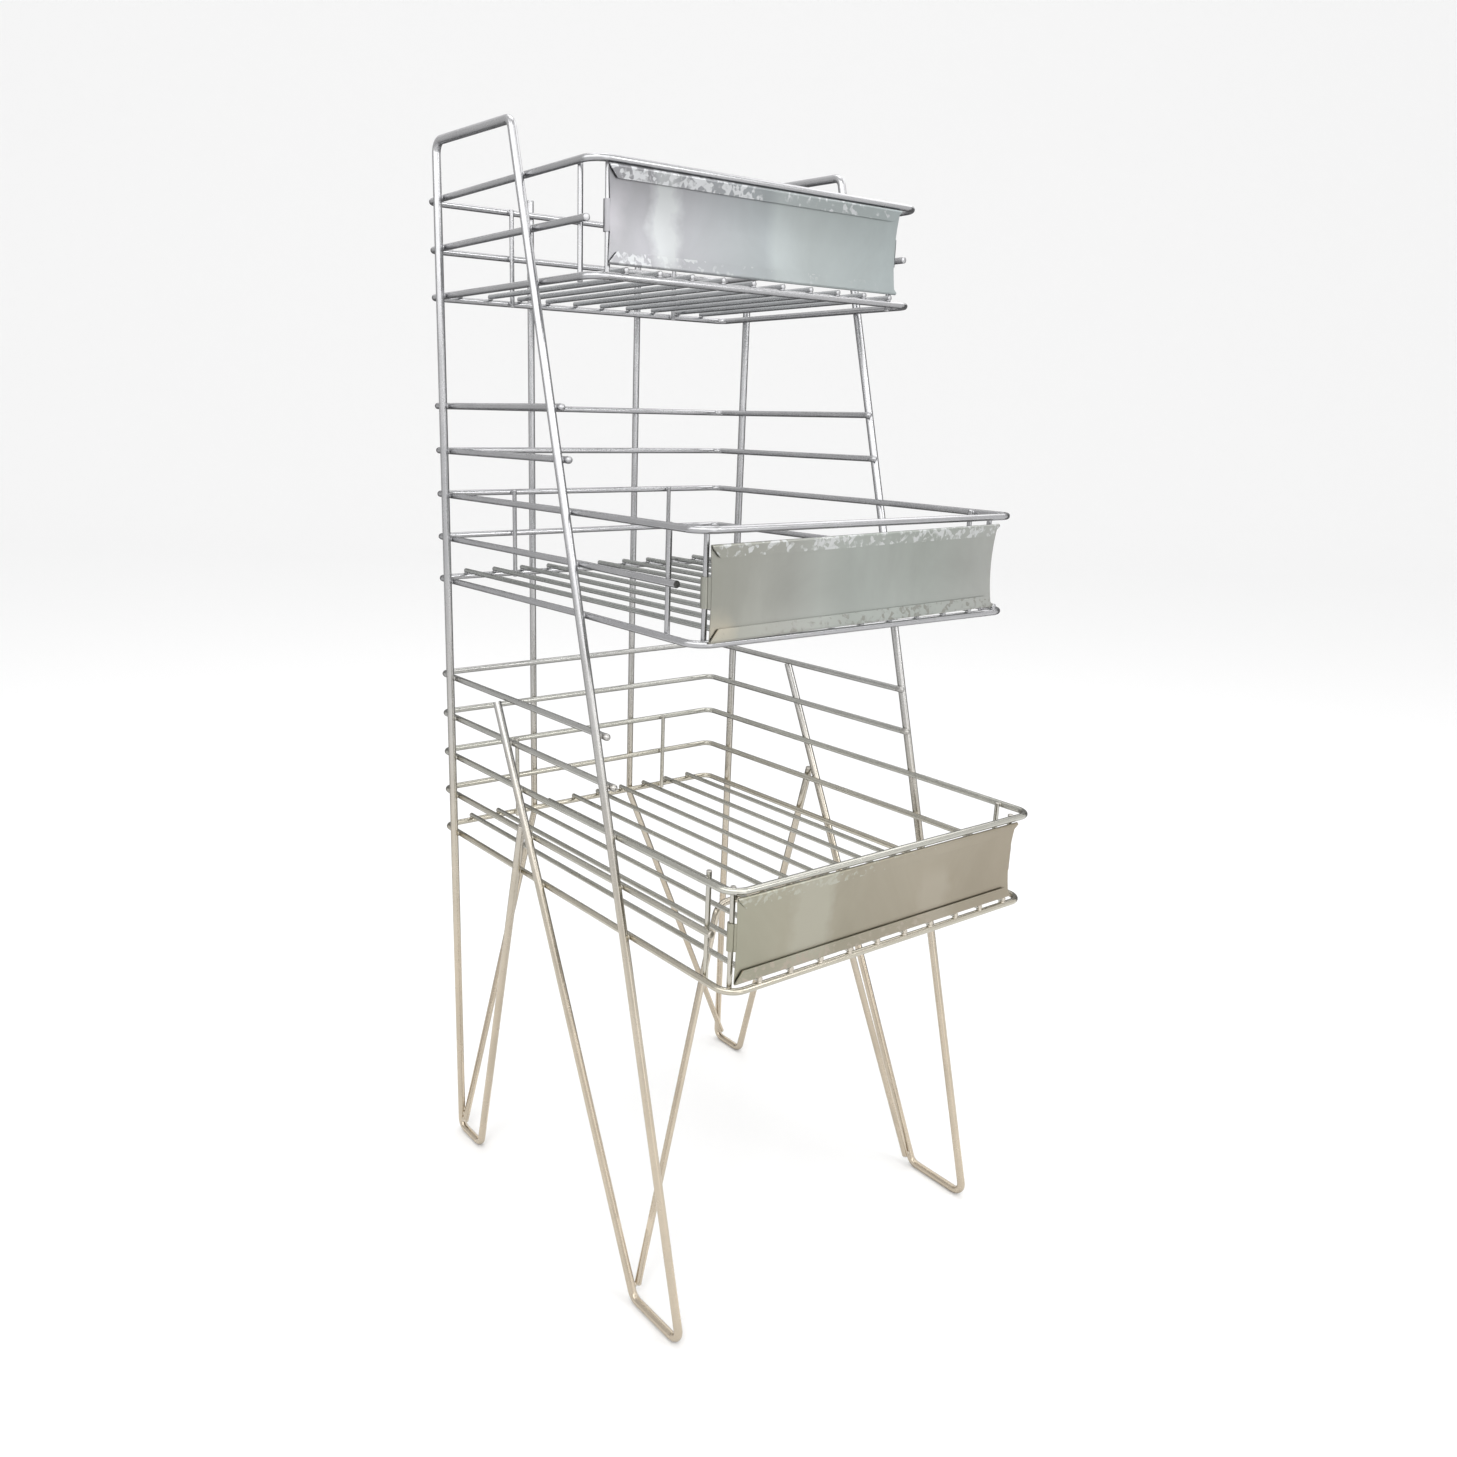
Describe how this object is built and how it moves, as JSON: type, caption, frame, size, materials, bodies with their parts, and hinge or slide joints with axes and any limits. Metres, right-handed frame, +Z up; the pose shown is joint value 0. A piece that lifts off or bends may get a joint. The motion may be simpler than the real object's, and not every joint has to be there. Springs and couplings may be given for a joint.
{
  "type": "wire basket rack",
  "caption": "Free-standing welded wire rack whose open baskets step forward towards the floor, each with a concave sheet label holder across its front.",
  "frame": {"origin": "on the floor, in the middle of the rack's footprint box", "axes": "+Z up, -Y towards the front with the label holders, +X to the right seen from the front"},
  "size_m": [0.392, 0.5052, 1.048],
  "materials": {
    "frame_wire": "bright zinc or nickel plating on steel wire, a little worn",
    "rail_wire": "bright zinc or nickel plating on steel wire",
    "stay_wire": "bright zinc or nickel plating on steel wire",
    "floor_wire": "bright zinc or nickel plating on steel wire",
    "panel_sheet": "satin plated steel sheet with mottled reflections on the lips"
  },
  "bodies": {
    "root": {"left_side_frame": "frame_wire", "right_side_frame": "frame_wire", "left_rear_upright": "frame_wire", "right_rear_upright": "frame_wire", "front_brace": "frame_wire", "middle_guard_low": "rail_wire", "middle_guard_high": "rail_wire", "bottom_guard_low": "rail_wire", "bottom_guard_high": "rail_wire", "top_basket_rim": "rail_wire", "top_basket_mid_rail": "rail_wire", "top_basket_floor_loop": "rail_wire", "top_basket_floor_wires": "floor_wire", "top_basket_left_back_stay": "stay_wire", "top_basket_right_back_stay": "stay_wire", "top_basket_left_side_stay": "stay_wire", "top_basket_right_side_stay": "stay_wire", "top_basket_left_panel_stay": "stay_wire", "top_basket_right_panel_stay": "stay_wire", "top_basket_label_panel": "panel_sheet", "middle_basket_rim": "rail_wire", "middle_basket_mid_rail": "rail_wire", "middle_basket_floor_loop": "rail_wire", "middle_basket_floor_wires": "floor_wire", "middle_basket_left_back_stay": "stay_wire", "middle_basket_right_back_stay": "stay_wire", "middle_basket_left_side_stay": "stay_wire", "middle_basket_right_side_stay": "stay_wire", "middle_basket_left_panel_stay": "stay_wire", "middle_basket_right_panel_stay": "stay_wire", "middle_basket_label_panel": "panel_sheet", "bottom_basket_rim": "rail_wire", "bottom_basket_mid_rail": "rail_wire", "bottom_basket_floor_loop": "rail_wire", "bottom_basket_floor_wires": "floor_wire", "bottom_basket_left_back_stay": "stay_wire", "bottom_basket_right_back_stay": "stay_wire", "bottom_basket_left_side_stay": "stay_wire", "bottom_basket_right_side_stay": "stay_wire", "bottom_basket_left_panel_stay": "stay_wire", "bottom_basket_right_panel_stay": "stay_wire", "bottom_basket_label_panel": "panel_sheet"}
  },
  "joints": []
}
